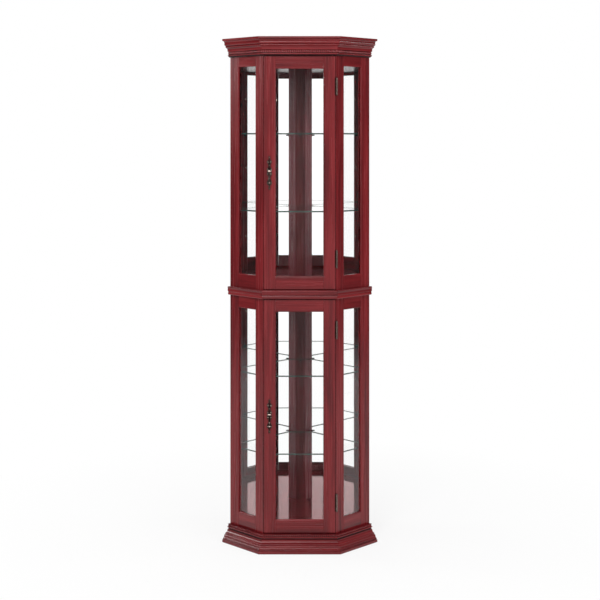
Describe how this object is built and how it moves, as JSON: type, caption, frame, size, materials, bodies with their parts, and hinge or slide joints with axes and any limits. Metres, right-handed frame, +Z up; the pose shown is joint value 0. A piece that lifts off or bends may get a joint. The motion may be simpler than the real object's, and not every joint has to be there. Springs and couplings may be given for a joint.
{
  "type": "corner curio cabinet",
  "caption": "Tall five-sided glazed corner display cabinet in red mahogany, with stacked glass doors, mirrored back walls and glass shelves.",
  "frame": {"origin": "on the floor, under the middle of the overall width and depth", "axes": "+Z up; the doors face -Y; +X to the right as seen from in front; the room corner is towards +Y"},
  "size_m": [0.564, 0.4358, 1.829],
  "materials": {
    "mahogany": "satin lacquer over a dark red mahogany stain",
    "back_board": "plain hardboard",
    "clear_glass": "polished clear float glass",
    "shelf_glass": "polished clear float glass with green edges",
    "mirror": "silvered plate mirror",
    "antique_brass": "darkened antique brass"
  },
  "bodies": {
    "cabinet": {"base_front_moulding": "mahogany", "left_base_moulding": "mahogany", "right_base_moulding": "mahogany", "waist_front_moulding": "mahogany", "left_waist_moulding": "mahogany", "right_waist_moulding": "mahogany", "cornice_front_moulding": "mahogany", "left_cornice_moulding": "mahogany", "right_cornice_moulding": "mahogany", "rear_base_board": "mahogany", "floor_board": "mahogany", "top_board": "mahogany", "waist_board": "mahogany", "left_front_stile": "mahogany", "right_front_stile": "mahogany", "left_outer_stile": "mahogany", "right_outer_stile": "mahogany", "left_facet_bottom_rail": "mahogany", "right_facet_bottom_rail": "mahogany", "left_facet_middle_rail": "mahogany", "right_facet_middle_rail": "mahogany", "left_facet_top_rail": "mahogany", "right_facet_top_rail": "mahogany", "rear_post": "mahogany", "left_lower_facet_glass": "clear_glass", "right_lower_facet_glass": "clear_glass", "left_upper_facet_glass": "clear_glass", "right_upper_facet_glass": "clear_glass", "upper_top_shelf": "shelf_glass", "upper_bottom_shelf": "shelf_glass", "lower_top_shelf": "shelf_glass", "lower_bottom_shelf": "shelf_glass", "left_lower_mirror": "mirror", "right_lower_mirror": "mirror", "left_upper_mirror": "mirror", "right_upper_mirror": "mirror", "left_back_panel": "back_board", "right_back_panel": "back_board", "lower_bottom_hinge_fixed_leaf": "antique_brass", "lower_top_hinge_fixed_leaf": "antique_brass", "upper_bottom_hinge_fixed_leaf": "antique_brass", "upper_top_hinge_fixed_leaf": "antique_brass"},
    "lower_door": {"lower_door_latch_stile": "mahogany", "lower_door_hinge_stile": "mahogany", "lower_door_bottom_rail": "mahogany", "lower_door_top_rail": "mahogany", "lower_door_glass": "clear_glass", "lower_bottom_hinge_door_leaf": "antique_brass", "lower_top_hinge_door_leaf": "antique_brass", "lower_pull_plate": "antique_brass"},
    "lower_pull_drop": {"lower_pull_drop": "antique_brass"},
    "upper_door": {"upper_door_latch_stile": "mahogany", "upper_door_hinge_stile": "mahogany", "upper_door_bottom_rail": "mahogany", "upper_door_top_rail": "mahogany", "upper_door_glass": "clear_glass", "upper_bottom_hinge_door_leaf": "antique_brass", "upper_top_hinge_door_leaf": "antique_brass", "upper_pull_plate": "antique_brass"},
    "upper_pull_drop": {"upper_pull_drop": "antique_brass"}
  },
  "joints": [
    {"name": "lower_door_hinge", "type": "hinge", "parent": "cabinet", "child": "lower_door", "pos_m": [0.13253, -0.17978, 0.4795], "axis": [0, 0, 1], "range_deg": [0, 180]},
    {"name": "lower_pull_swing", "type": "hinge", "parent": "lower_door", "child": "lower_pull_drop", "pos_m": [-0.10753, -0.18328, 0.4855], "axis": [-1, 0, 0], "range_deg": [0, 90]},
    {"name": "upper_door_hinge", "type": "hinge", "parent": "cabinet", "child": "upper_door", "pos_m": [0.13253, -0.17978, 1.3455], "axis": [0, 0, 1], "range_deg": [0, 180]},
    {"name": "upper_pull_swing", "type": "hinge", "parent": "upper_door", "child": "upper_pull_drop", "pos_m": [-0.10753, -0.18328, 1.3515], "axis": [-1, 0, 0], "range_deg": [0, 90]}
  ]
}
